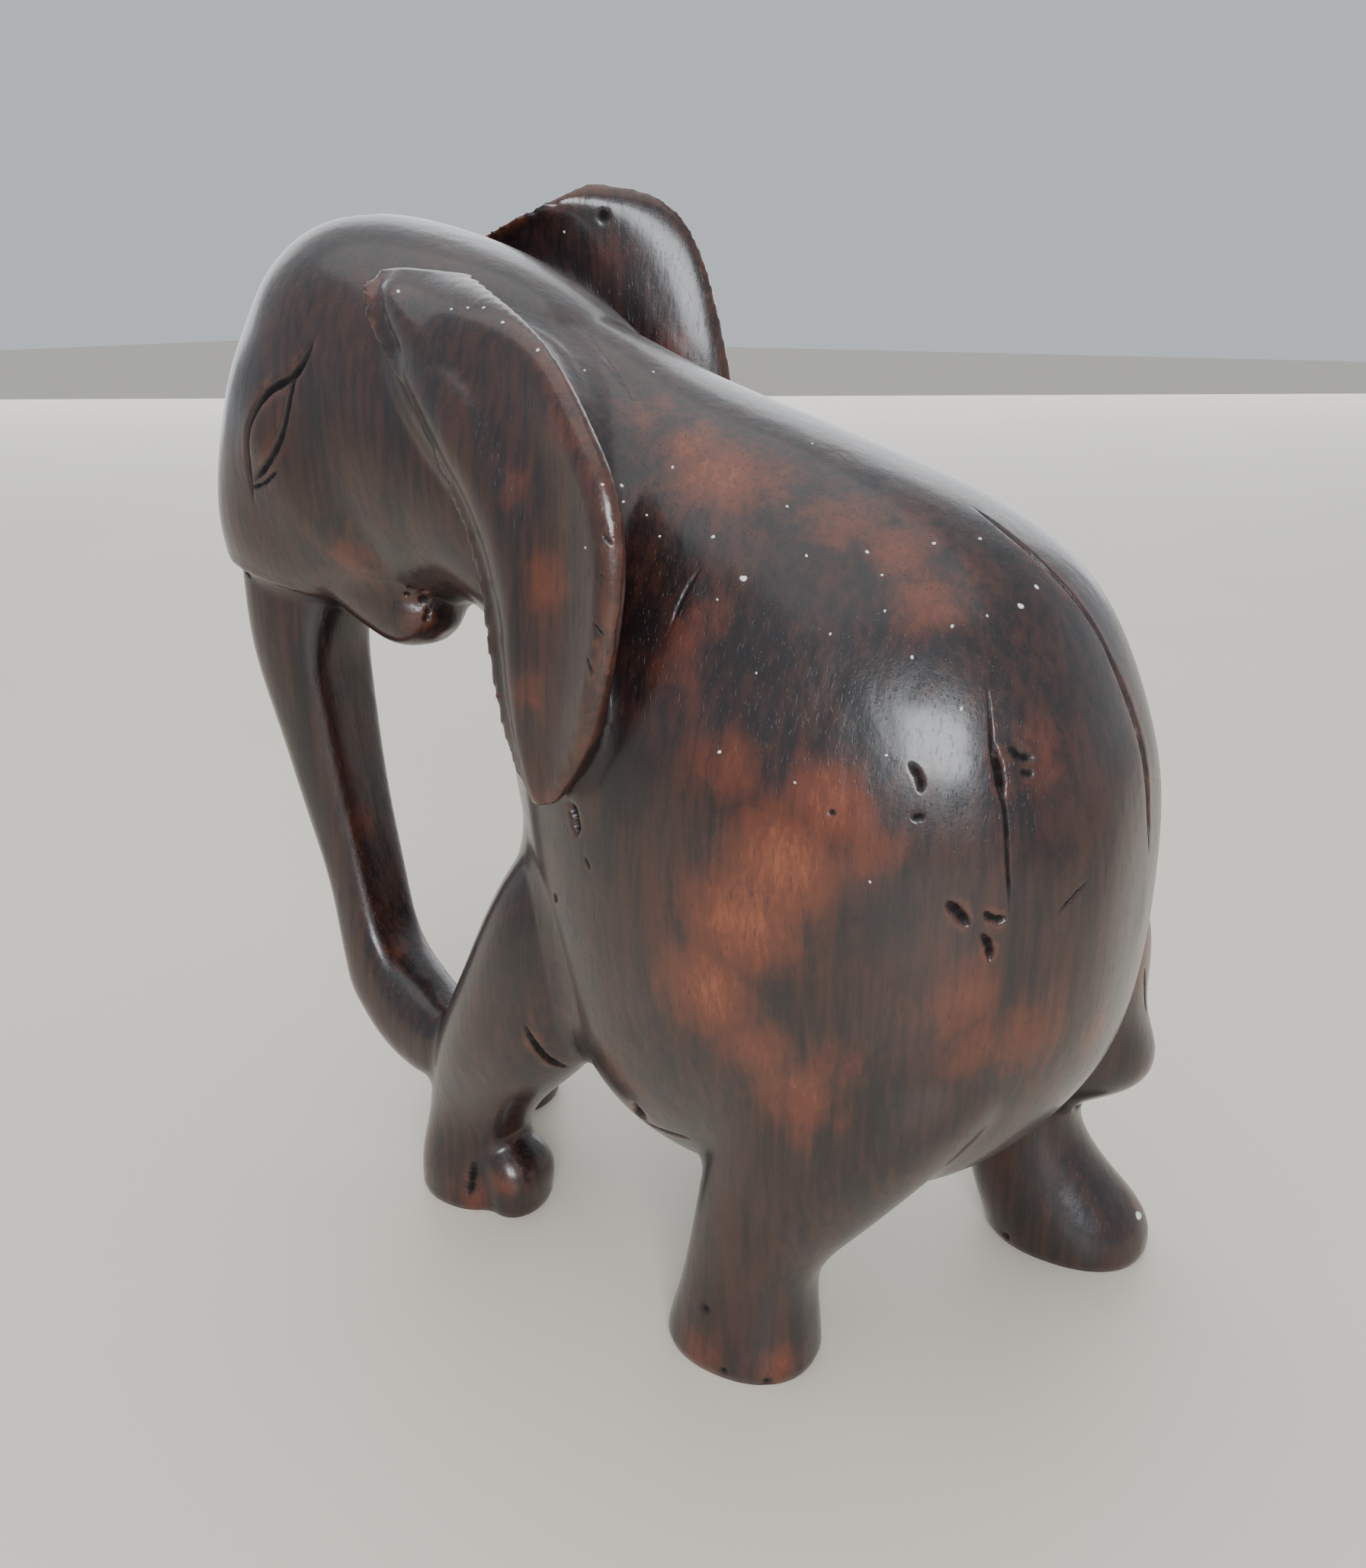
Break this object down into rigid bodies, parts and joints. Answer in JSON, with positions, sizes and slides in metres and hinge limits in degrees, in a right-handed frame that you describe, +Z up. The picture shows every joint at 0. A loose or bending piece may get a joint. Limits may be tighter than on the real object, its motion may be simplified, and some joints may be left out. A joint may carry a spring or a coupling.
{
  "type": "carved elephant figurine",
  "caption": "Hand-carved dark wooden elephant striding with its head bowed, leaf-shaped ears flared and its trunk curling down to meet the near knee.",
  "frame": {"origin": "centre of the figure's bounding box at the level of its four soles", "axes": "+Z up, the elephant faces -Y and its own left side is towards +X"},
  "size_m": [0.1444, 0.2896, 0.3089],
  "materials": {
    "carved_wood": "dark stained hardwood with red-brown streaks, hand rubbed and waxed to a soft gloss"
  },
  "bodies": {
    "root": {"torso": "carved_wood", "head": "carved_wood", "lower_jaw": "carved_wood", "trunk": "carved_wood", "left_ear": "carved_wood", "right_ear": "carved_wood", "left_front_leg": "carved_wood", "right_front_leg": "carved_wood", "left_hind_leg": "carved_wood", "right_hind_leg": "carved_wood"}
  },
  "joints": []
}
